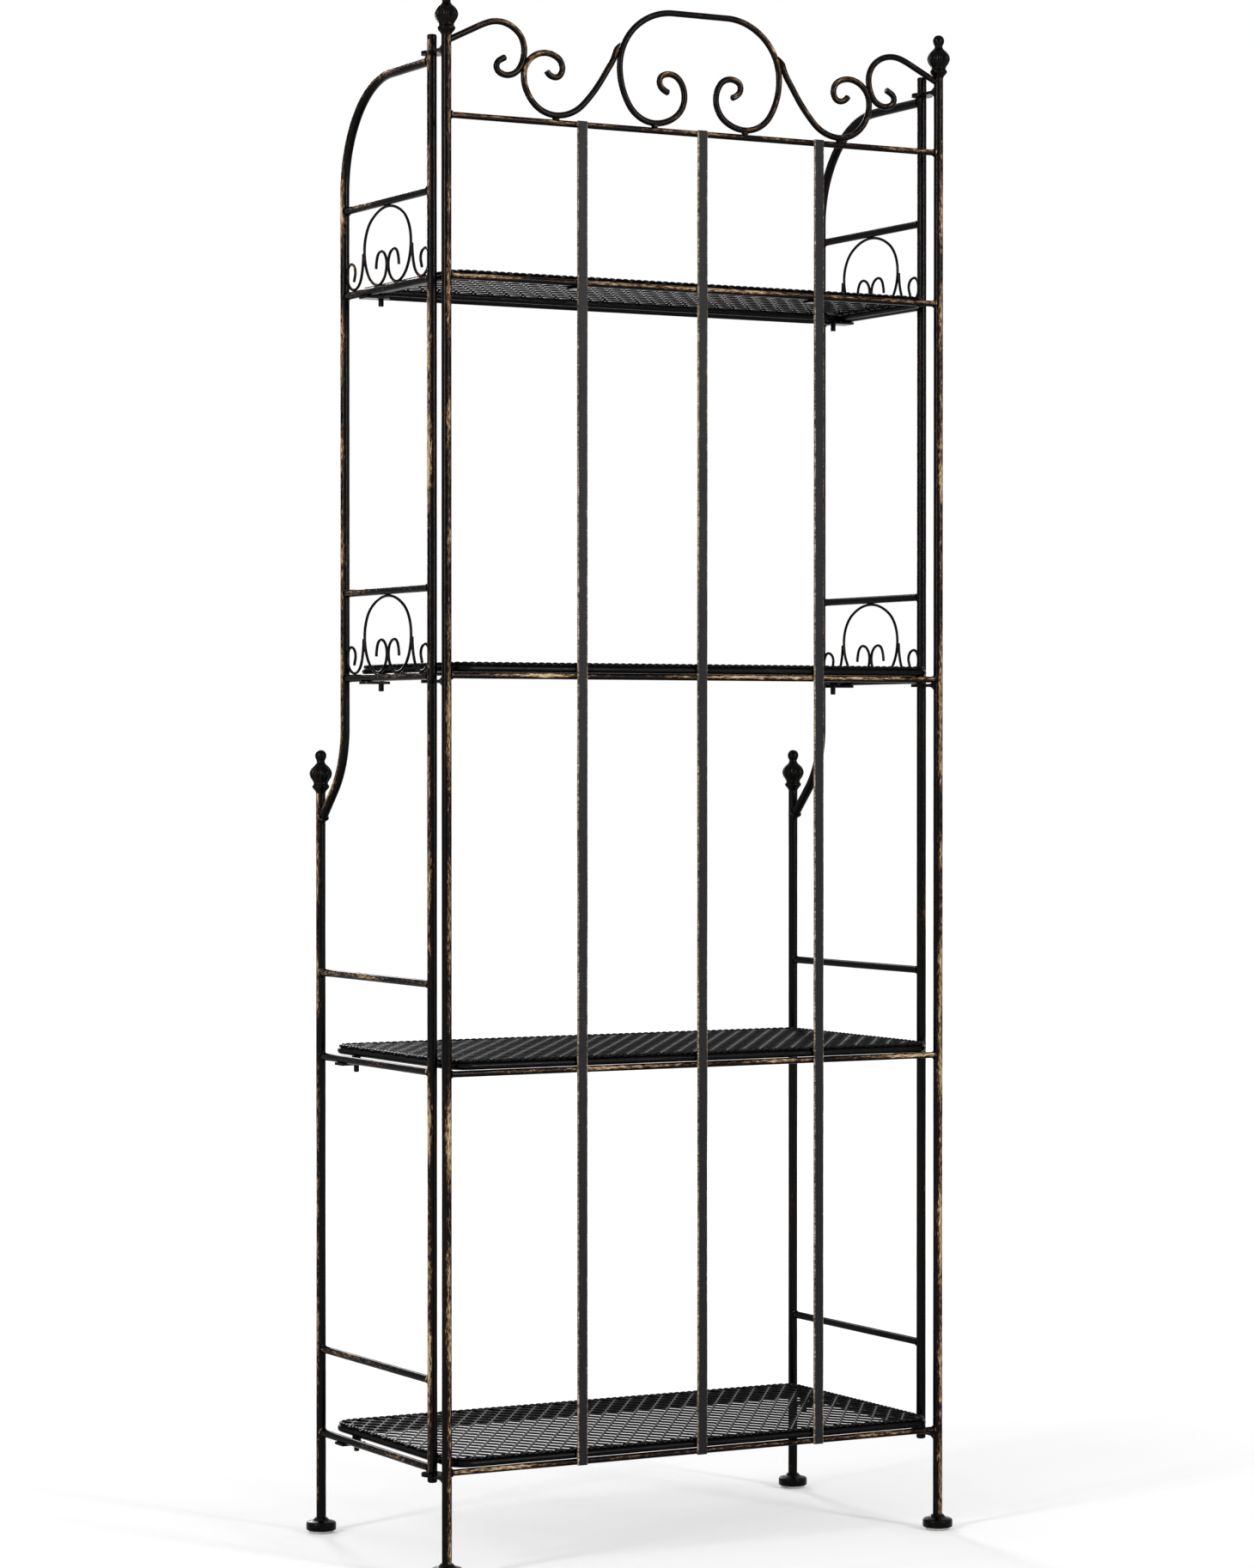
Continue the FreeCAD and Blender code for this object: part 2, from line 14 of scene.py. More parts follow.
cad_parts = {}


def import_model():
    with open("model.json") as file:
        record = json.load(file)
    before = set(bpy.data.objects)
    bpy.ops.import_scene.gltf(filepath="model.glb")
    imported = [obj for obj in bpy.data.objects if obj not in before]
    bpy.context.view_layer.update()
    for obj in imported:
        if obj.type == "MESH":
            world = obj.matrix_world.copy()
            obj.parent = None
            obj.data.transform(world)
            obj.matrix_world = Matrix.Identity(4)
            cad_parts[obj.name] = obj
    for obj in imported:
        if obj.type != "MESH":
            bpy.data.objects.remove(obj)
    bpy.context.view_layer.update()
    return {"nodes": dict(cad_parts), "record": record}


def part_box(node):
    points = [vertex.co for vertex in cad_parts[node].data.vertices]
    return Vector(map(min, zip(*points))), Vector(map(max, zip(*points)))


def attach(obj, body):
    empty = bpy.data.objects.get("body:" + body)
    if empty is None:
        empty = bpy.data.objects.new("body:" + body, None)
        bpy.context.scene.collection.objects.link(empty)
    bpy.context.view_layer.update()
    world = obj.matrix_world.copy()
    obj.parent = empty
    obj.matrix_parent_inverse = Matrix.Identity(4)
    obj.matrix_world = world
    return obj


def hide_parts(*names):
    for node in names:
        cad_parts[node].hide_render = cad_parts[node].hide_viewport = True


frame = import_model()

mm = 0.001
X, Y, Z = (Vector(axis) for axis in ((1, 0, 0), (0, 1, 0), (0, 0, 1)))
chance = random.Random(7)
sides = {"left": -1, "right": 1}
bars = ("left", "centre", "right")
levels = range(1, 5)
lower_levels = (1, 2)
ornament_levels = (3, 4)

# Sizes that the boxes of the frame don't show, with angles in degrees
stile_setback = 65 * mm
stile_slope = 135
stile_bend_share = 0.45
stile_arch_radius = 118 * mm
front_post_head = 34 * mm
shelf_corner_radius = 20 * mm
shelf_clearance = 0.3 * mm
mesh_overhang = 2 * mm       # past the rod's middle line
peg_inset = 18 * mm
peg_radius = 3 * mm
peg_chamfer = 0.6 * mm
collar_radius = 5 * mm
collar_chamfer = 0.4 * mm
bar_edge_ease = 0.6 * mm
bar_worn_band = 0.12         # share of the bar's width along each edge
bar_sway = 0.25 * mm         # how far a flat bar wanders from its line
bar_waves = 9                # in a metre
end_scroll_drop = 7 * mm
hinge_lug_thickness = 3.5 * mm

# Welds: beads have radii, lumps have half extents, and the flare of a lug has stations of distance,
# half width and half height in millimetres
weld_bite = 0.3 * mm
rail_bead_radius = 1.4 * mm
stile_bead_radius = 1.8 * mm
stile_bead_reach = 1.7       # along the stile from the post's middle, in post radii
standoff_radius = 2.6 * mm
standoff_bead_radius = 1.5 * mm
bar_lump = Vector((1.7, 1.5, 2.8)) * mm
bar_lump_shift = 0.4 * mm    # in front of the bar
wire_lump = Vector((1.6, 2.6, 1.3)) * mm
lug_flare = [(0, 5.0, 8.0), (5, 5.2, 7.4), (7, 5.2, 5.2), (9.5, 5.3, 3.4), (12.5, 5.4, 2.3),
             (16, 5.4, 1.9)]

# Crest: places across are shares of the half width, heights are above the scrolls' lowest points
arch_widest = 0.324
arch_curl = [(0.128, 34.5, 15), (0.165, 46.2, 90), (0.125, 55.0, 180), (0.064, 31.5, 270),
             (0.183, 0.0, 0), (arch_widest, 58.5, 90), (0.109, 122.0, 180)]
scroll_curl = [(0.613, 47.2, 240), (0.579, 41.0, 180), (0.551, 51.5, 90), (0.615, 66.5, 0),
               (0.702, 40.5, 270), (0.576, 0.0, 180), (0.392, 44.5, 122)]
standoff_places = (arch_curl[4][0], scroll_curl[5][0])  # where arch and scrolls are lowest
scroll_joint = (76.0, 104)
scroll_joint_lean = 2.3 * mm     # how far the arch has bent in at that height
scroll_tip = (0.320, 85.0, 128)  # its hammered point lies on the arch, past the joint
scroll_tip_thickness = 0.12      # share of the rod
end_scroll_slope = 26
end_scroll_straight = 0.125
end_scroll_curl = [(0.801, 96.0, 180), (0.700, 67.5, 270), (0.769, 39.1, 0), (0.808, 48.0, 90),
                   (0.773, 58.2, 155)]

# Side ornament: shares of the lyre's half width or of the hook's width, and of the height
lyre_width_share = 0.533
lyre_curl = [(0.490, 0.210, 92), (0.285, 0.430, 180), (0.035, 0.250, 270), (0.400, 0.0, 0),
             (1.0, 0.48, 90)]
hook_curl = [(0.0, 0.450, 270), (0.560, 0.0, 0), (1.0, 0.200, 90), (0.770, 0.347, 180),
             (0.500, 0.230, 270), (0.580, 0.105, 285)]

# Turned pieces: radius and height in millimetres
finial_outline = [(5.0, -2.0), (5.6, 0.0), (6.6, 1.8), (8.4, 3.8), (9.6, 5.6), (9.8, 6.6), (9.5, 7.7),
                  (8.7, 8.8), (8.2, 10.0), (8.5, 11.4), (9.8, 13.6), (11.6, 16.4), (12.7, 19.4),
                  (12.9, 21.2), (12.4, 24.0), (11.0, 26.8), (8.8, 29.4), (6.6, 31.4), (5.2, 33.0),
                  (4.6, 34.6), (4.7, 36.0), (5.6, 37.8), (6.3, 39.8), (6.5, 41.6), (6.2, 43.6),
                  (5.2, 45.6), (3.6, 47.1), (1.8, 47.8), (0.0, 48.0)]
bulb_range = (10.5, 32.5)
bulb_lobes = 10
lobe_depth = 0.13
lobe_fullness = 0.7          # below one, lobes keep their depth nearer to their ends
least_radius = 0.01          # on the axis, where a ring closes
foot_outline = [(0.0, 0.0), (15.2, 0.0), (16.6, 0.5), (17.0, 1.8), (17.0, 7.4), (16.6, 8.8), (15.4, 9.7),
                (12.0, 10.4), (9.4, 11.4), (7.8, 12.8), (7.0, 14.0), (5.0, 14.0)]
glide_outline = [(0.0, 0.0), (12.6, 0.0), (13.6, 0.5), (14.0, 1.4), (14.0, 3.0), (0.0, 3.0)]
cap_outline = [(5.4, -1.0), (5.4, 3.2), (5.1, 4.1), (4.4, 4.6), (2.4, 4.9), (0.0, 5.0)]

# Expanded metal
strand_pitch = 10.5 * mm     # between neighbouring strands
bond_pitch = 29.3 * mm       # along a strand, from bond to bond on the same side
bond_spacing = 0.8           # of two strands' middles at a bond, as a share of their width
bond_flatness = 1.35         # above one, bonds are flat and the runs between them steeper
strand_width = 2.4 * mm
strand_thickness = 1.5 * mm
strand_tilt = math.radians(15)
strand_steps = 8             # in a bond pitch
hem_bead_pitch = 8.4 * mm    # the sheet's edge is rolled into a beaded hem on top of the rod
hem_bead_radius = 2.2 * mm
hem_bead_notch = 0.5         # share of the radius between two beads
hem_bead_bulge = 0.6         # below one, beads are fuller than a sine wave
hem_bead_steps = 8

# Camera of the photograph, whose picture is 1460 by 1826
camera_place = Vector((2.3758, 4.3096, 0.8896))
camera_heading = math.radians(28.827)
camera_pitch = math.radians(-0.526)
picture_height = 1826
focal_length_pixels = 5045.6
centre_drop_pixels = 5.1

# Places, read from the frame
record = frame["record"]
body_of = {node: body for body, nodes in record["behaviour"]["bodies"].items() for node in nodes}
slot_of = {part["node"]: part["material_slot"] for part in record["subparts"]}


def centre(node):
    low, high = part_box(node)
    return (low + high) / 2


def half_size(node):
    low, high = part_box(node)
    return (high - low) / 2


def top_of(node):
    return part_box(node)[1].z


def bottom_of(node):
    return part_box(node)[0].z


post_x = centre("back_post_right").x
back_y = centre("back_post_right").y
rear_y = centre("side_right_rear_post").y
front_y = centre("side_right_front_post").y
post_radius = half_size("back_post_right").x
back_rail_radius = half_size("back_top_rail").z
side_rail_radius = half_size("side_right_shelf_rails").x
stile_radius = half_size("side_right_stile").x
crest_radius = half_size("crest_arch").y
wire_radius = half_size("side_right_ornament_3").x
rod_radius = half_size("shelf_1_frame").z
stile_y = front_y + stile_setback
rail_heights = {level: centre(f"back_shelf_rail_{level}").z for level in levels}
guard_rise = bottom_of("side_right_guard_rails") - bottom_of("side_right_shelf_rails")
crest_base = bottom_of("crest_scroll_right") + crest_radius
back_post_top = top_of("back_post_right")
front_post_top = top_of("side_right_front_post")


def front_upright_y(level):
    return front_y if level in lower_levels else stile_y


# The panels were brushed by hand from outside and less from the front, so paint is on narrow bands of faces
# that look there.
# The bands lean upwards, and their pale gold is also a painted highlight along the rods
front_brush = Vector((0, -1, 0.3)).normalized()
front_brushing = 0.85
brushed_from = {body: Vector(way).normalized() for body, way in (
    ("back_panel", (-0.15, 1, 0.3)), ("side_left", (-1, 0.2, 0.3)), ("side_right", (1, 0.2, 0.3)))}
brush_focus = 3.0
scarcely_brushed = 0.35      # share of the brushing on finials, caps and wires
crest_brushing = 0.65
rail_brushing = 0.4


# Meshes are gathered in a skin: points, faces, coordinates along the brushing, and wear, which on the
# frame's pieces is brushed paint and painted highlight

class Skin:
    def __init__(self):
        self.points = []
        self.grain = []
        self.wear_and_highlight = []
        self.faces = []

    def add(self, point, grain=None, wear_and_highlight=0.0):
        self.points.append(point)
        self.grain.append(point if grain is None else grain)
        self.wear_and_highlight.append(wear_and_highlight)
        return len(self.points) - 1

    def bridge(self, first, second):
        """Quads between two rings of points."""
        for j, here in enumerate(first):
            after = (j + 1) % len(first)
            self.faces.append((here, first[after], second[after], second[j]))

    def fan(self, ring, tip):
        for j, here in enumerate(ring):
            self.faces.append((here, ring[(j + 1) % len(ring)], tip))


def paint_and_highlight_share(normal, brush):
    """How much paint a face takes that looks along a normal: brushed paint, and partly a painted highlight.
    """
    outer = max(0.0, normal.dot(brush)) ** brush_focus
    front = max(0.0, normal.dot(front_brush)) ** brush_focus
    return max(outer, front * front_brushing)


def piece(name, skin, material, body, slot, nodes=(), sharp_angle=40, brushing=1.0):
    """A shown object that moves with a body, and stands for the nodes that it replaces."""
    mesh = bpy.data.meshes.new(name)
    mesh.from_pydata(skin.points, [], skin.faces)
    grain = mesh.attributes.new("grain", "FLOAT_VECTOR", "POINT")
    grain.data.foreach_set("vector", [value for point in skin.grain for value in point])
    # frame pieces take brushed paint that is partly a painted highlight; other pieces keep their wear
    wear_and_highlight_values = skin.wear_and_highlight
    if slot == "frame":
        brush = brushed_from[body]
        wear_and_highlight_values = [brushing * paint_and_highlight_share(corner.vector, brush) for corner in mesh.vertex_normals]
    wear_and_highlight = mesh.attributes.new("wear_and_highlight", "FLOAT", "POINT")
    wear_and_highlight.data.foreach_set("value", wear_and_highlight_values)
    mesh.shade_smooth()
    mesh.set_sharp_from_angle(angle=math.radians(sharp_angle))
    mesh.materials.append(material)
    made = bpy.data.objects.new(name, mesh)
    bpy.context.scene.collection.objects.link(made)
    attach(made, body)
    if nodes:
        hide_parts(*nodes)


def dress(node, skin, materials, sharp_angle=40, brushing=1.0):
    """The piece that takes the place of one node."""
    slot = slot_of[node]
    piece(f"look_{node}", skin, materials[slot], body_of[node], slot, [node], sharp_angle, brushing)


# Paths in a plane are complex numbers, so a heading is a number of length one

def heading(degrees):
    return cmath.rect(1, math.radians(degrees))


def dot(a, b):
    return (a * b.conjugate()).real


def arc_points(start, end, leaving, step):
    """Points from start to just before end, on the arc that leaves start along a heading."""
    chord = end - start
    half_turn = cmath.phase(chord / leaving)
    bow = math.sin(half_turn)
    is_straight = abs(bow) < 1e-6
    length = abs(chord) * (1 if is_straight else half_turn / bow)
    count = max(2, round(length / step))
    points = []
    for index in range(count):
        share = index / count
        reach = share if is_straight else math.sin(half_turn * share) / bow
        points.append(start + leaving * cmath.exp(1j * half_turn * share) * abs(chord) * reach)
    return points


def biarc_joint(start, leaving, end, arriving):
    """Where the two arcs meet that join two points smoothly."""
    chord = end - start
    spread = 2 * (1 - dot(leaving, arriving))
    if spread < 1e-9:
        reach = abs(chord) ** 2 / (4 * dot(chord, arriving))
    else:
        pull = dot(chord, leaving + arriving)
        reach = (math.sqrt(pull ** 2 + spread * abs(chord) ** 2) - pull) / spread
    return (start + leaving * reach + end - arriving * reach) / 2


def curve(points, step):
    """A smooth line through points (across, up, heading in degrees)."""
    line = []
    for (*first, first_turn), (*second, second_turn) in zip(points, points[1:]):
        start = complex(*first)
        end = complex(*second)
        leaving = heading(first_turn)
        arriving = heading(second_turn)
        joint = biarc_joint(start, leaving, end, arriving)
        line += arc_points(start, joint, leaving, step)
        back = arc_points(end, joint, -arriving, step) + [joint]
        line += back[:0:-1]
    line.append(complex(*points[-1][:2]))
    return line


def mirrored(points):
    return [(-across, up, -turn) for across, up, turn in reversed(points)]


def straight(start, end, step):
    count = max(2, round((end - start).length / step))
    return [start.lerp(end, index / count) for index in range(count + 1)]


# Rods, beads and turned pieces

rod_sides = 16
wire_sides = 10
hem_sides = 8
turned_sides = 32
finial_sides = 100
foot_sides = 48
peg_sides = 20
bead_steps = 18
bead_sides = 7
lump_rows = 6
lump_sides = 10
flare_sides = 12
rod_step = 10 * mm
fine_step = 2.5 * mm
end_rounding = 0.22
taper_length = 9 * mm
rod_unevenness = (0.018, 55)   # share of the size, and how often it changes in a metre
bead_unevenness = (0.45, 520)
lump_unevenness = (0.3, 700)
lump_grain = 2 * mm


def uneven(point, amount, scale):
    return 1 + amount * noise.noise(point * scale)


def turns(count):
    """Angles of evenly spaced points on a ring."""
    return [2 * math.pi * j / count for j in range(count)]


def add_rod(skin, path, normal, radius, closed=False, ends=(1.0, 1.0), count=rod_sides, swell=None):
    """A round rod along a path in the plane of the normal. Its grain runs along it.

    The ends are the rod's thickness there, as shares, for a tip that is hammered thin. A swell gives
    the share of the radius at a distance along the rod.
    """
    start_grain = Vector((chance.random(), chance.random(), chance.random() * 5))
    along = 0.0
    rings = []

    def ring(place, tangent, size, travelled):
        side = normal.cross(tangent).normalized()
        made = []
        for angle in turns(count):
            out = side * math.cos(angle) + normal * math.sin(angle)
            point = place + out * size * uneven(place + out * radius, *rod_unevenness)
            grain = Vector((math.cos(angle) * radius, math.sin(angle) * radius, travelled))
            made.append(skin.add(point, grain + start_grain))
        return made

    last = len(path) - 1
    taper_rings = max(2, round(taper_length / (path[1] - path[0]).length))
    for index, place in enumerate(path):
        before = path[index - 1] if index or closed else place
        after = path[(index + 1) % len(path)] if index < last or closed else place
        tangent = (after - before).normalized()
        if index:
            along += (place - path[index - 1]).length
        size = radius * swell(along) if swell else radius
        if not closed:
            for share, distance in ((ends[0], index), (ends[1], last - index)):
                size *= min(1, share + (1 - share) * distance / taper_rings)
        rounding = size * end_rounding
        if not closed and index == 0:
            rings.append(ring(place, tangent, size - rounding, along))
            rings.append(ring(place + tangent * rounding, tangent, size, along))
        elif not closed and index == last:
            rings.append(ring(place - tangent * rounding, tangent, size, along))
            rings.append(ring(place, tangent, size - rounding, along))
        else:
            rings.append(ring(place, tangent, size, along))
    for first, second in zip(rings, rings[1:]):
        skin.bridge(first, second)
    if closed:
        skin.bridge(rings[-1], rings[0])
    else:
        skin.fan(rings[0][::-1], skin.add(path[0], start_grain))
        skin.fan(rings[-1], skin.add(path[-1], start_grain))


def add_bead(skin, place, axis, ring_radius, bead_radius=rail_bead_radius):
    """An uneven weld bead round a rod."""
    across = axis.orthogonal().normalized()
    other = axis.cross(across).normalized()
    rings = []
    for turn in turns(bead_steps):
        out = across * math.cos(turn) + other * math.sin(turn)
        middle = place + out * ring_radius
        thick = bead_radius * uneven(middle, *bead_unevenness)
        rings.append([skin.add(middle + (out * math.cos(angle) + axis * math.sin(angle)) * thick)
                      for angle in turns(bead_sides)])
    for first, second in zip(rings, rings[1:] + rings[:1]):
        skin.bridge(second, first)


def add_lump(skin, place, size):
    """A small lump of weld metal; size is its half extents."""
    rows = []
    for row in range(1, lump_rows):
        tilt = math.pi * row / lump_rows
        rows.append([])
        for turn in turns(lump_sides):
            out = Vector((math.sin(tilt) * math.cos(turn), math.sin(tilt) * math.sin(turn), math.cos(tilt)))
            out *= uneven(place + out * lump_grain, *lump_unevenness)
            rows[-1].append(skin.add(place + out * size))
    for first, second in zip(rows, rows[1:]):
        skin.bridge(second, first)
    skin.fan(rows[0], skin.add(place + Z * size.z))
    skin.fan(rows[-1][::-1], skin.add(place - Z * size.z))


def add_flare(skin, root, along, stations):
    """A weld that flares towards its root. Stations are distance, half width and half height in mm."""
    across = along.cross(Z)
    rings = []
    for distance, half_width, half_height in stations:
        rings.append([])
        for angle in turns(flare_sides):
            out = across * math.cos(angle) * half_width + Z * math.sin(angle) * half_height
            rings[-1].append(skin.add(root + (along * distance + out) * mm))
    for first, second in zip(rings, rings[1:]):
        skin.bridge(first, second)
    skin.fan(rings[0][::-1], skin.add(root))
    skin.fan(rings[-1], skin.add(root + along * stations[-1][0] * mm))


def smooth_outline(outline, parts=3):
    """More points on a soft line through an outline."""
    line = []
    for index in range(len(outline) - 1):
        p0, p1, p2, p3 = (outline[min(max(index + k, 0), len(outline) - 1)] for k in (-1, 0, 1, 2))
        for part in range(parts):
            t = part / parts
            line.append(tuple(0.5 * (2 * b + (c - a) * t + (2 * a - 5 * b + 4 * c - d) * t ** 2
                                     + (3 * b - a - 3 * c + d) * t ** 3)
                              for a, b, c, d in zip(p0, p1, p2, p3)))
    return line + [outline[-1]]


def add_turned(skin, outline, foot, count=turned_sides, lobes=None):
    """A turned piece on a vertical axis. The outline runs upwards, in millimetres."""
    rings = []
    for radius, height in outline:
        rings.append([])
        for angle in turns(count):
            size = max(radius, least_radius) * mm
            if lobes:
                size *= 1 - lobes(height) * (1 - abs(math.cos(bulb_lobes * angle / 2)))
            out = Vector((math.cos(angle), math.sin(angle), 0)) * size
            rings[-1].append(skin.add(foot + out + Z * height * mm))
    for first, second in zip(rings, rings[1:]):
        skin.bridge(first, second)
    skin.fan(rings[0][::-1], skin.add(foot + Z * outline[0][1] * mm))
    skin.fan(rings[-1], skin.add(foot + Z * outline[-1][1] * mm))


def bulb_groove(height):
    """Depth of the grooves between the bulb's lobes, as a share of the radius."""
    low, high = bulb_range
    if not low < height < high:
        return 0
    return lobe_depth * math.sin(math.pi * (height - low) / (high - low)) ** lobe_fullness


# Materials: colours are linear light, and ramps list a place and a colour or value

black = (0.0060, 0.0058, 0.0058)
edge_tint = (0.56, 0.56, 0.56, 1)   # keeps the black coat dark where it is seen at a slant
warm_black = (0.0070, 0.0062, 0.0058)
rust_black = (0.018, 0.0095, 0.0055)
rust_brown = (0.066, 0.035, 0.018)
# pale gold of the dry brushing, which also serves as a painted highlight on the rods
bronze = (0.225, 0.143, 0.072)
pale_gold_and_highlight = (0.560, 0.430, 0.260)
charcoal = (0.0062, 0.0060, 0.0072)
pale_charcoal = (0.0105, 0.0101, 0.0116)
rubbed_brown = (0.035, 0.027, 0.020)
rubbed_bronze = (0.150, 0.115, 0.078)
rubbed_gold = (0.420, 0.340, 0.240)
foot_dark = (0.0015, 0.0014, 0.0014)
foot_pale = (0.0028, 0.0027, 0.0026)
glide_dark = (0.42, 0.41, 0.38)
glide_pale = (0.60, 0.59, 0.56)


def new_material(name):
    material = bpy.data.materials.new(name)
    material.use_nodes = True
    tree = material.node_tree
    return material, tree, tree.nodes["Principled BSDF"]


def add_node(tree, kind, inputs=None, **settings):
    node = tree.nodes.new(kind)
    for key, value in settings.items():
        setattr(node, key, value)
    for key, value in (inputs or {}).items():
        if isinstance(value, bpy.types.NodeSocket):
            tree.links.new(value, node.inputs[key])
        else:
            node.inputs[key].default_value = value
    return node


def grain_coordinates(tree, on_piece):
    """Brushing coordinates: stored in the pieces' points, and a node's own place on the plain nodes."""
    if on_piece:
        return add_node(tree, "ShaderNodeAttribute", attribute_name="grain").outputs["Vector"]
    return add_node(tree, "ShaderNodeTexCoord").outputs["Object"]


def speckle(tree, coordinates, scale, stretch, detail=3.0, roughness=0.6):
    """Noise that is stretched along the grain."""
    mapped = add_node(tree, "ShaderNodeMapping", {"Vector": coordinates, "Scale": (1, 1, 1 / stretch)})
    made = add_node(tree, "ShaderNodeTexNoise", {"Vector": mapped.outputs["Vector"], "Scale": scale,
                                                 "Detail": detail, "Roughness": roughness})
    return made.outputs["Fac"]


def math_node(tree, operation, first, second):
    return add_node(tree, "ShaderNodeMath", {0: first, 1: second}, operation=operation).outputs["Value"]


def weighted_sum(tree, terms, total):
    for value, weight in terms:
        added = add_node(tree, "ShaderNodeMath", {0: value, 1: weight, 2: total}, operation="MULTIPLY_ADD")
        total = added.outputs["Value"]
    return total


def ramp(tree, factor, stops):
    made = add_node(tree, "ShaderNodeValToRGB", {"Fac": factor})
    elements = made.color_ramp.elements
    while len(elements) < len(stops):
        elements.new(0.5)
    for element, (place, colour) in zip(elements, stops):
        element.position = place
        element.color = (*colour, 1) if isinstance(colour, tuple) else (colour, colour, colour, 1)
    return made.outputs["Color"]


def add_bump(tree, shader, height, strength, distance):
    bump = add_node(tree, "ShaderNodeBump", {"Height": height, "Strength": strength, "Distance": distance})
    tree.links.new(bump.outputs["Normal"], shader.inputs["Normal"])


def antiqued_metal(name, on_piece=True, brushed=0.0):
    """Black powder coat that was dry-brushed by hand with rust brown, bronze and pale gold; the pale gold
    bands are partly a painted highlight.
    """
    material, tree, shader = new_material(name)
    place = grain_coordinates(tree, on_piece)
    # paint on faces that look along the brushing, partly a painted highlight
    facing_paint_and_highlight = add_node(tree, "ShaderNodeAttribute", attribute_name="wear_and_highlight").outputs["Fac"]
    streaks = speckle(tree, place, scale=640, stretch=5, detail=4.0, roughness=0.7)
    patches = speckle(tree, place, scale=28, stretch=3, detail=2.0, roughness=0.5)
    paint = weighted_sum(tree, [(streaks, 1.0), (patches, 0.9), (facing_paint_and_highlight, 0.36)], brushed - 0.69)
    colour = ramp(tree, paint, [(0.0, black), (0.47, warm_black), (0.52, rust_black), (0.575, rust_brown),
                                (0.65, bronze), (0.78, pale_gold_and_highlight)])
    tree.links.new(colour, shader.inputs["Base Color"])
    tree.links.new(ramp(tree, paint, [(0.47, 0.18), (0.62, 0.45)]), shader.inputs["Roughness"])
    tree.links.new(ramp(tree, paint, [(0.48, 1.0), (0.54, 0.0)]), shader.inputs["Metallic"])
    shader.inputs["Specular Tint"].default_value = edge_tint
    shader.inputs["Specular IOR Level"].default_value = 0.06
    add_bump(tree, shader, paint, strength=0.35, distance=0.35 * mm)
    return material


def satin_black(name, roughness, scuffing):
    """Black powder coat with a faint orange peel and a few scuffs."""
    material, tree, shader = new_material(name)
    place = grain_coordinates(tree, True)
    cloud = speckle(tree, place, scale=60, stretch=4)
    peel = speckle(tree, place, scale=1500, stretch=1, detail=2.0)
    scuffs = speckle(tree, place, scale=420, stretch=7, detail=4.0, roughness=0.7)
    dark, pale, scuffed = (tuple(share * value for value in black) for share in (0.8, 1.2, scuffing))
    tree.links.new(ramp(tree, weighted_sum(tree, [(cloud, 0.35), (scuffs, 0.65)], 0.0),
                        [(0.35, dark), (0.58, pale), (0.72, scuffed)]), shader.inputs["Base Color"])
    tree.links.new(ramp(tree, cloud, [(0.3, roughness - 0.06), (0.7, roughness + 0.08)]),
                   shader.inputs["Roughness"])
    shader.inputs["Metallic"].default_value = 1.0
    shader.inputs["Specular Tint"].default_value = edge_tint
    add_bump(tree, shader, peel, strength=0.25, distance=0.25 * mm)
    return material


def flat_bar_metal(name):
    """Charcoal powder coat with fine scratches, whose long edges are rubbed with bronze."""
    material, tree, shader = new_material(name)
    place = grain_coordinates(tree, True)
    cloud = speckle(tree, place, scale=45, stretch=6)
    peel = speckle(tree, place, scale=1300, stretch=1, detail=2.0)
    streaks = speckle(tree, place, scale=640, stretch=6, detail=4.0, roughness=0.7)
    patches = speckle(tree, place, scale=16, stretch=5, detail=2.0)
    scratches = speckle(tree, place, scale=60, stretch=0.1, detail=2.0)
    edge = add_node(tree, "ShaderNodeAttribute", attribute_name="wear_and_highlight").outputs["Fac"]
    rubbed = weighted_sum(tree, [(streaks, 1.0), (patches, 0.6), (scratches, 0.8), (edge, 0.45)], -0.9)
    colour = ramp(tree, rubbed, [(0.0, charcoal), (0.52, pale_charcoal), (0.62, rubbed_brown),
                                 (0.78, rubbed_bronze), (0.95, rubbed_gold)])
    tree.links.new(colour, shader.inputs["Base Color"])
    tree.links.new(ramp(tree, cloud, [(0.3, 0.34), (0.7, 0.44)]), shader.inputs["Roughness"])
    shader.inputs["Specular IOR Level"].default_value = 0.09
    add_bump(tree, shader, peel, strength=0.3, distance=0.25 * mm)
    return material


def moulded_plastic(name, dark, pale, roughness):
    """Moulded plastic with faint scuffs."""
    material, tree, shader = new_material(name)
    place = grain_coordinates(tree, True)
    cloud = speckle(tree, place, scale=120, stretch=1)
    peel = speckle(tree, place, scale=1800, stretch=1, detail=2.0)
    tree.links.new(ramp(tree, cloud, [(0.35, dark), (0.7, pale)]), shader.inputs["Base Color"])
    tree.links.new(ramp(tree, cloud, [(0.3, roughness - 0.05), (0.7, roughness + 0.1)]),
                   shader.inputs["Roughness"])
    shader.inputs["Specular IOR Level"].default_value = 0.05
    add_bump(tree, shader, peel, strength=0.2, distance=0.2 * mm)
    return material


def all_materials():
    return {
        "frame": antiqued_metal("antiqued_metal"),
        "flat_bar": flat_bar_metal("flat_bar_metal"),
        "shelf_frame": satin_black("shelf_rod_black", roughness=0.22, scuffing=3.0),
        "shelf_mesh": satin_black("shelf_mesh_black", roughness=0.26, scuffing=2.0),
        "foot": moulded_plastic("foot_black", foot_dark, foot_pale, roughness=0.22),
        "glide": moulded_plastic("glide_pale", glide_dark, glide_pale, roughness=0.5),
        "frame_node": antiqued_metal("antiqued_metal_plain", on_piece=False, brushed=0.12),
    }


# The rack's pieces

def upright(node, materials):
    low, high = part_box(node)
    middle = centre(node)
    skin = Skin()
    axis = straight(Vector((middle.x, middle.y, low.z)), Vector((middle.x, middle.y, high.z)), rod_step)
    add_rod(skin, axis, X, half_size(node).x)
    dress(node, skin, materials)


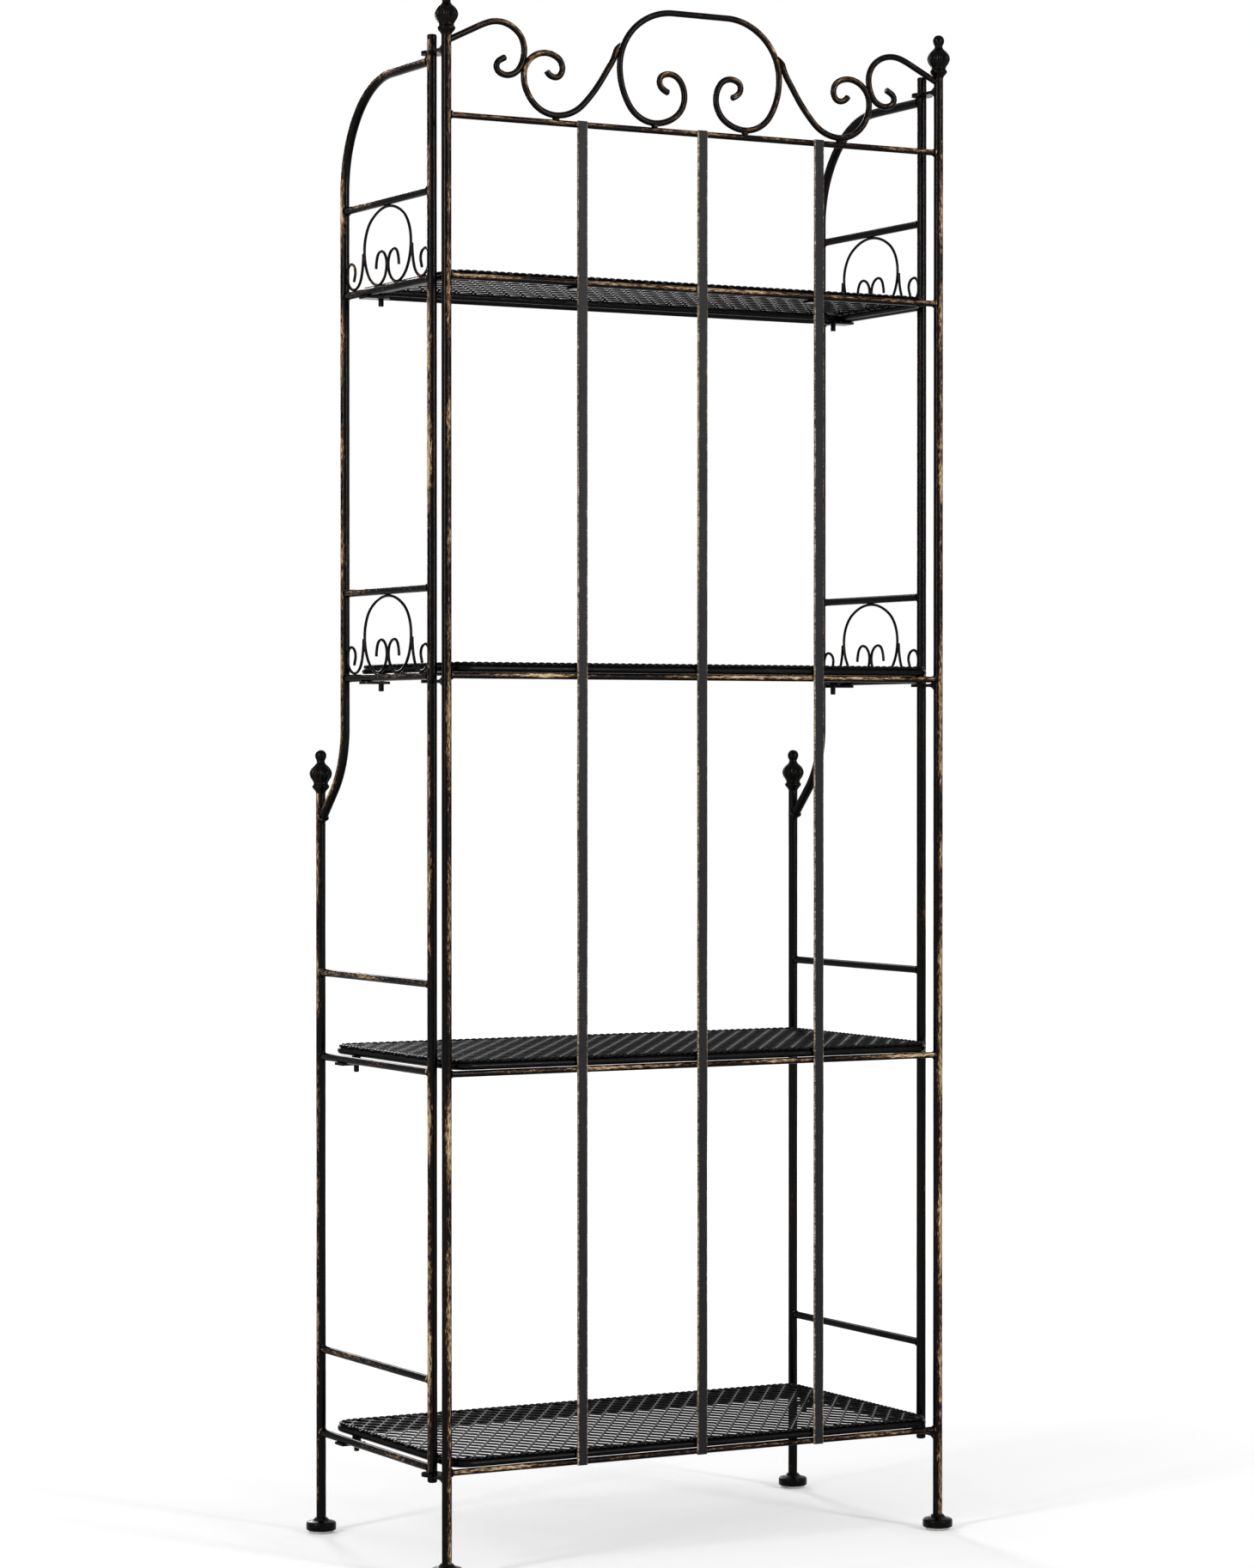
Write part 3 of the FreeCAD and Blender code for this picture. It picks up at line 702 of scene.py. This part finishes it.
def turned(node, outline, places, materials, **options):
    skin = Skin()
    for foot in places:
        add_turned(skin, outline, foot, **options)
    dress(node, skin, materials, sharp_angle=50, brushing=scarcely_brushed)


def finial(node, x, y, height, materials):
    outline = smooth_outline(finial_outline)
    turned(node, outline, [Vector((x, y, height))], materials, count=finial_sides, lobes=bulb_groove)


def back_frame(materials):
    welds = Skin()
    for side, sign in sides.items():
        x = sign * post_x
        upright(f"back_post_{side}", materials)
        finial(f"back_finial_{side}", x, back_y, back_post_top, materials)
        foot_place = [Vector((x, back_y, bottom_of(f"back_foot_{side}")))]
        turned(f"back_foot_{side}", foot_outline, foot_place, materials, count=foot_sides)
    glide_places = [Vector((sign * post_x, back_y, 0)) for sign in sides.values()]
    turned("back_glides", glide_outline, glide_places, materials)
    for name in [f"back_shelf_rail_{level}" for level in levels] + ["back_top_rail"]:
        height = centre(name).z
        skin = Skin()
        axis = straight(Vector((-post_x, back_y, height)), Vector((post_x, back_y, height)), rod_step)
        add_rod(skin, axis, Z, back_rail_radius)
        dress(name, skin, materials)
        for sign in sides.values():
            add_bead(welds, Vector((sign * (post_x - post_radius), back_y, height)), X, back_rail_radius)
        for bar in bars:
            add_bar_welds(welds, f"back_bar_{bar}", height)
    for bar in bars:
        flat_bar(f"back_bar_{bar}", materials)
    crest(materials, welds)
    for sign in sides.values():
        for height in lug_heights():
            add_flare(welds, Vector((sign * post_x, back_y, height)), -Y, lug_flare)
    piece("welds_back_panel", welds, materials["frame"], "back_panel", "frame")


def lug_heights():
    """Middle heights of the three hinge lugs."""
    low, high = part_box("hinge_lugs_right")
    half = hinge_lug_thickness / 2
    return low.z + half, rail_heights[3] - rail_heights[1] + low.z + half, high.z - half


def add_bar_welds(skin, bar, height):
    low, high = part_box(bar)
    for x in (low.x, high.x):
        add_lump(skin, Vector((x, low.y - bar_lump_shift, height)), bar_lump)


def flat_bar(node, materials):
    """A bar with eased edges; the edges carry the wear."""
    low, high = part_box(node)
    ease = bar_edge_ease
    outline = []
    for x, y, dx, dy in ((low.x, low.y, 1, 1), (high.x, low.y, -1, 1), (high.x, high.y, -1, -1),
                         (low.x, high.y, 1, -1)):
        pair = [(x, y + dy * ease, 1.0), (x + dx * ease, y, 1.0)]
        outline += pair if dx == dy else pair[::-1]
    wide = []
    for (x0, y0, w0), (x1, y1, w1) in zip(outline, outline[1:] + outline[:1]):
        wide.append((x0, y0, w0))
        if abs(x1 - x0) > 2 * ease:
            wide += [(x0 + (x1 - x0) * share, y0, 0.0) for share in (bar_worn_band, 1 - bar_worn_band)]
    skin = Skin()
    shift = chance.random() * 3
    rings = []
    count = round((high.z - low.z) / rod_step)
    for index in range(count + 1):
        z = low.z + (high.z - low.z) * index / count
        sway = bar_sway * noise.noise(Vector((shift, z * bar_waves, 0)))
        rings.append([skin.add(Vector((x + sway, y, z)), Vector((x, y, z + shift)), wear_and_highlight)
                      for x, y, wear_and_highlight in wide])
    for first, second in zip(rings, rings[1:]):
        skin.bridge(first, second)
    skin.faces.append(tuple(rings[0][::-1]))
    skin.faces.append(tuple(rings[-1]))
    dress(node, skin, materials, sharp_angle=50)


def crest_rod(points, sign, ends=(1.0, 1.0)):
    line = curve([(across, up * mm, turn) for across, up, turn in points], fine_step)
    path = [Vector((sign * spot.real, back_y, crest_base + spot.imag)) for spot in line]
    skin = Skin()
    add_rod(skin, path, Y, crest_radius, ends=ends)
    return skin


def spread_across(points):
    return [(share * post_x, up, turn) for share, up, turn in points]


def crest(materials, welds):
    half_arch = spread_across(arch_curl)
    arch = crest_rod(half_arch + mirrored(half_arch), 1)
    dress("crest_arch", arch, materials, brushing=crest_brushing)
    joint_across = arch_widest * post_x - scroll_joint_lean + 2 * crest_radius - weld_bite
    scroll = spread_across(scroll_curl) + [(joint_across, *scroll_joint)] + spread_across([scroll_tip])
    start_up = (back_post_top - end_scroll_drop - crest_base) / mm
    start_run = end_scroll_straight * post_x
    start_rise = start_run / mm * math.tan(math.radians(end_scroll_slope))
    end_scroll = [(post_x, start_up, 180 - end_scroll_slope),
                  (post_x - start_run, start_up + start_rise, 180 - end_scroll_slope)]
    end_scroll += spread_across(end_scroll_curl)
    for side, sign in sides.items():
        scroll_skin = crest_rod(scroll, sign, ends=(1.0, scroll_tip_thickness))
        dress(f"crest_scroll_{side}", scroll_skin, materials, brushing=crest_brushing)
        dress(f"crest_end_scroll_{side}", crest_rod(end_scroll, sign), materials, brushing=crest_brushing)
        for share in standoff_places:
            foot = Vector((sign * share * post_x, back_y, crest_base - crest_radius))
            add_bead(welds, foot, Z, standoff_radius, standoff_bead_radius)


def side_panel(side, sign, materials):
    x = sign * post_x
    name = f"side_{side}"
    welds = Skin()
    upright(f"{name}_rear_post", materials)
    upright(f"{name}_front_post", materials)
    turned(f"{name}_rear_cap", cap_outline, [Vector((x, rear_y, top_of(f"{name}_rear_post")))], materials)
    finial(f"{name}_front_finial", x, front_y, front_post_top, materials)
    foot_place = [Vector((x, front_y, bottom_of(f"{name}_front_foot")))]
    turned(f"{name}_front_foot", foot_outline, foot_place, materials, count=foot_sides)
    turned(f"{name}_front_glide", glide_outline, [Vector((x, front_y, 0))], materials)
    stile(f"{name}_stile", x, materials, welds)
    for kind, rise in (("shelf_rails", 0), ("guard_rails", guard_rise)):
        skin = Skin()
        for level in levels:
            height = rail_heights[level] + rise
            front = front_upright_y(level)
            axis = straight(Vector((x, rear_y, height)), Vector((x, front, height)), rod_step)
            add_rod(skin, axis, Z, side_rail_radius)
            add_bead(welds, Vector((x, rear_y - post_radius, height)), Y, side_rail_radius)
            add_bead(welds, Vector((x, front + post_radius, height)), Y, side_rail_radius)
        dress(f"{name}_{kind}", skin, materials, brushing=rail_brushing)
    for level in ornament_levels:
        ornament(f"{name}_ornament_{level}", x, rail_heights[level], materials, welds)
    piece(f"welds_{name}", welds, materials["frame"], name, "frame")


def stile(node, x, materials, welds):
    depth = rear_y - front_y
    upper = rear_y - stile_y
    spring = front_post_top - front_post_head
    top = top_of(node) - stile_radius
    bend_run = stile_bend_share * stile_setback
    slope_top = spring + stile_setback - bend_run
    bend_radius = bend_run / (1 - math.sqrt(0.5))
    bend_top = slope_top + bend_radius * math.sqrt(0.5)
    points = [(depth, spring, stile_slope), (upper + bend_run, slope_top, stile_slope),
              (upper, bend_top, 90), (upper, top - stile_arch_radius, 90),
              (upper - stile_arch_radius, top, 180), (0, top, 180)]
    path = [Vector((x, rear_y - spot.real, spot.imag)) for spot in curve(points, 2 * fine_step)]
    skin = Skin()
    add_rod(skin, path, X, stile_radius)
    dress(node, skin, materials)
    foot_way = (path[1] - path[0]).normalized()
    foot_bead = path[0] + foot_way * stile_bead_reach * post_radius
    add_bead(welds, foot_bead, foot_way, stile_radius, stile_bead_radius)
    add_bead(welds, Vector((x, rear_y - post_radius, top)), Y, stile_radius)


def ornament(node, x, rail_height, materials, welds):
    low = rail_height + side_rail_radius + wire_radius - weld_bite
    height = guard_rise - 2 * side_rail_radius - 2 * wire_radius + 2 * weld_bite
    half_depth = (rear_y - stile_y) / 2
    middle = rear_y - half_depth
    lyre_half = lyre_width_share * half_depth
    half_lyre = [(across * lyre_half, up * height, turn) for across, up, turn in lyre_curl]
    hook_start = lyre_half + 2 * wire_radius - weld_bite
    hook_width = half_depth - post_radius - wire_radius + weld_bite - hook_start
    hook = [(hook_start + across * hook_width, up * height, turn) for across, up, turn in hook_curl]
    skin = Skin()
    for points, flip in ((half_lyre + [(0, height, 180)] + mirrored(half_lyre), 1), (hook, 1), (hook, -1)):
        line = curve(points, fine_step)
        path = [Vector((x, middle - flip * spot.real, low + spot.imag)) for spot in line]
        add_rod(skin, path, X, wire_radius, count=wire_sides)
    dress(node, skin, materials, brushing=scarcely_brushed)
    add_lump(welds, Vector((x, middle, low + height + wire_radius)), wire_lump)
    lowest = (half_lyre[3][0], hook[1][0])
    for flip in (1, -1):
        for across in lowest:
            add_lump(welds, Vector((x, middle - flip * across, low - wire_radius)), wire_lump)


def shelf(level, materials):
    rod_frame = f"shelf_{level}_frame"
    low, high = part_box(rod_frame)
    height = centre(rod_frame).z
    half_width = high.x - rod_radius
    rear = high.y - rod_radius
    front = low.y + rod_radius
    r = shelf_corner_radius
    corners = [(half_width, front + r, 90), (half_width, rear - r, 90), (half_width - r, rear, 180),
               (r - half_width, rear, 180), (-half_width, rear - r, 270), (-half_width, front + r, 270),
               (r - half_width, front, 0), (half_width - r, front, 0), (half_width, front + r, 90)]
    line = curve(corners, 2 * fine_step)[:-1]
    skin = Skin()
    add_rod(skin, [Vector((spot.real, spot.imag, height)) for spot in line], Z, rod_radius, closed=True)
    dress(rod_frame, skin, materials)
    peg_bar(level, half_width, height, materials)
    hem_height = bottom_of(f"shelf_{level}_mesh") + hem_bead_radius * hem_bead_notch
    hem_line = curve(corners, hem_bead_pitch / hem_bead_steps)[:-1]
    hem = [Vector((spot.real, spot.imag, hem_height)) for spot in hem_line]
    expanded_metal(level, hem, materials)


def peg_bar(level, half_width, height, materials):
    node = f"shelf_{level}_peg_bar"
    y = centre(node).y
    skin = Skin()
    bar = straight(Vector((-half_width, y, height)), Vector((half_width, y, height)), rod_step)
    add_rod(skin, bar, Z, rod_radius)
    peg_low = (bottom_of(node) - height) / mm
    shoulder = rail_heights[level] - side_rail_radius + weld_bite + shelf_clearance
    collar_low = (shoulder - height) / mm
    peg = peg_radius / mm
    peg_ease = peg_chamfer / mm
    collar = collar_radius / mm
    collar_ease = collar_chamfer / mm
    outline = [(0.0, peg_low), (peg - peg_ease, peg_low), (peg, peg_low + peg_ease), (peg, collar_low),
               (collar - collar_ease, collar_low), (collar, collar_low + collar_ease), (collar, 0.0)]
    for sign in sides.values():
        add_turned(skin, outline, Vector((sign * (post_x - peg_inset), y, height)), count=peg_sides)
    dress(node, skin, materials)


def zigzag(share):
    """A strand's sideways place along one pitch, from -1 to 1: straight runs between flat bonds."""
    triangle = 1 - 4 * abs(share % 1 - 0.5)
    return max(-1.0, min(1.0, bond_flatness * triangle))


def beaded(along):
    """Round beads with sharp notches between them, as a share of their radius."""
    wave = abs(math.sin(math.pi * along / hem_bead_pitch)) ** hem_bead_bulge
    return hem_bead_notch + (1 - hem_bead_notch) * wave


def expanded_metal(level, hem, materials):
    """Zigzag strands that meet at bonds, cut to the sheet's rounded corners, and the hem round them."""
    node = f"shelf_{level}_mesh"
    low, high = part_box(node)
    corner = shelf_corner_radius + mesh_overhang
    swing = (strand_pitch - bond_spacing * strand_width) / 2
    flat = Vector((math.cos(strand_tilt), 0, -math.sin(strand_tilt))) * strand_width / 2
    up = Vector((math.sin(strand_tilt), 0, math.cos(strand_tilt))) * strand_thickness / 2
    middle_height = low.z - flat.z + up.z
    rows = int((high.x - low.x - strand_width) / strand_pitch)
    skin = Skin()
    for row in range(rows + 1):
        x = (row - rows / 2) * strand_pitch
        past = max(0.0, abs(x) + swing - (high.x - corner))
        trim = corner - math.sqrt(max(0.0, corner ** 2 - past ** 2))
        start = low.y + trim
        end = high.y - trim
        flip = 1 if row % 2 else -1
        count = round((end - start) / bond_pitch * strand_steps)
        rings = []
        for index in range(count + 1):
            y = start + (end - start) * index / count
            place = Vector((x + flip * swing * zigzag((y - low.y) / bond_pitch), y, middle_height))
            rings.append([skin.add(place + corner_out)
                          for corner_out in (-flat - up, flat - up, flat + up, up - flat)])
        for first, second in zip(rings, rings[1:]):
            skin.bridge(second, first)
        skin.faces.append(tuple(rings[0]))
        skin.faces.append(tuple(rings[-1][::-1]))
    add_rod(skin, hem, Z, hem_bead_radius, closed=True, count=hem_sides, swell=beaded)
    dress(node, skin, materials, sharp_angle=30)


def plain_nodes(materials):
    """Small plates keep the frame's own shapes."""
    for node in ("hinge_lugs_left", "hinge_lugs_right", "back_shelf_rests", "crest_standoffs",
                 "side_left_shelf_tabs", "side_right_shelf_tabs"):
        shown = frame["nodes"][node]
        shown.data.materials.clear()
        shown.data.materials.append(materials["frame_node"])


# Stage

floor_half_width = 30.0
floor_colour = (0.82, 0.82, 0.82, 1)
shadow_range = (0.8, 3.5)    # distances between which the floor fades into the background
lamp_target = Vector((0, 0, 0.9))
strip_height = 2.8


def background_share(tree):
    """One for rays that should see the plain white background, else nought."""
    path = add_node(tree, "ShaderNodeLightPath")
    seen = math_node(tree, "MAXIMUM", path.outputs["Is Camera Ray"], path.outputs["Is Glossy Ray"])
    return math_node(tree, "MAXIMUM", seen, path.outputs["Is Transmission Ray"])


def floor(near_glow, far_glow):
    """A pale floor that keeps the shadow near the rack and runs into the white background."""
    half = floor_half_width
    mesh = bpy.data.meshes.new("floor")
    corners = [(-half, -half, 0), (half, -half, 0), (half, half, 0), (-half, half, 0)]
    mesh.from_pydata(corners, [], [(0, 1, 2, 3)])
    made = bpy.data.objects.new("floor", mesh)
    bpy.context.scene.collection.objects.link(made)
    material = bpy.data.materials.new("pale_floor")
    material.use_nodes = True
    tree = material.node_tree
    tree.nodes.clear()
    diffuse = add_node(tree, "ShaderNodeBsdfDiffuse", {"Color": floor_colour})
    place = add_node(tree, "ShaderNodeTexCoord").outputs["Object"]
    distance = add_node(tree, "ShaderNodeVectorMath", {0: place}, operation="LENGTH").outputs["Value"]
    near, far = shadow_range
    fade = add_node(tree, "ShaderNodeMapRange", {"Value": distance, "From Min": near, "From Max": far,
                                                 "To Min": near_glow, "To Max": far_glow})
    seen_glow = math_node(tree, "MULTIPLY", background_share(tree), fade.outputs["Result"])
    glow = add_node(tree, "ShaderNodeEmission", {"Strength": seen_glow})
    both = add_node(tree, "ShaderNodeAddShader", {0: diffuse.outputs["BSDF"], 1: glow.outputs["Emission"]})
    add_node(tree, "ShaderNodeOutputMaterial", {"Surface": both.outputs["Shader"]})
    mesh.materials.append(material)


def world(lighting):
    """A white background where it is seen, and soft light of a given strength from all round."""
    made = bpy.data.worlds.new("studio")
    made.use_nodes = True
    tree = made.node_tree
    seen = background_share(tree)
    strength = math_node(tree, "MAXIMUM", seen, lighting)
    background = tree.nodes["Background"]
    background.inputs["Color"].default_value = (1, 1, 1, 1)
    tree.links.new(strength, background.inputs["Strength"])
    bpy.context.scene.world = made


def strip_lamp(name, place, width, power):
    """A tall soft lamp that looks at the rack's middle."""
    data = bpy.data.lights.new(name, "AREA")
    data.shape = "RECTANGLE"
    data.size = width
    data.size_y = strip_height
    data.energy = power
    made = bpy.data.objects.new(name, data)
    made.location = place
    made.rotation_euler = (lamp_target - Vector(place)).to_track_quat("-Z", "Y").to_euler()
    bpy.context.scene.collection.objects.link(made)


def camera():
    """The photograph's viewing place, angle and distance."""
    data = bpy.data.cameras.new("camera")
    data.sensor_width = 36
    data.lens = focal_length_pixels / picture_height * data.sensor_width
    data.shift_y = centre_drop_pixels / picture_height
    forward = Vector((-math.sin(camera_heading), -math.cos(camera_heading), 0)) * math.cos(camera_pitch)
    forward += Z * math.sin(camera_pitch)
    right = forward.cross(Z).normalized()
    turn = Matrix((right, right.cross(forward), -forward)).transposed()
    made = bpy.data.objects.new("camera", data)
    made.matrix_world = Matrix.Translation(camera_place) @ turn.to_4x4()
    bpy.context.scene.collection.objects.link(made)
    bpy.context.scene.camera = made


finishes = all_materials()
back_frame(finishes)
for side_name, side_sign in sides.items():
    side_panel(side_name, side_sign, finishes)
for shelf_level in levels:
    shelf(shelf_level, finishes)
plain_nodes(finishes)

floor(near_glow=0.2, far_glow=0.65)
world(lighting=0.55)
strip_lamp("outer_strip", (4.6, 1.6, 2.4), width=0.6, power=130)
strip_lamp("rear_strip", (-1.8, 4.8, 2.2), width=0.6, power=130)
strip_lamp("front_strip", (-0.8, -4.8, 2.6), width=0.8, power=100)
camera()
bpy.context.scene.view_settings.view_transform = "Standard"
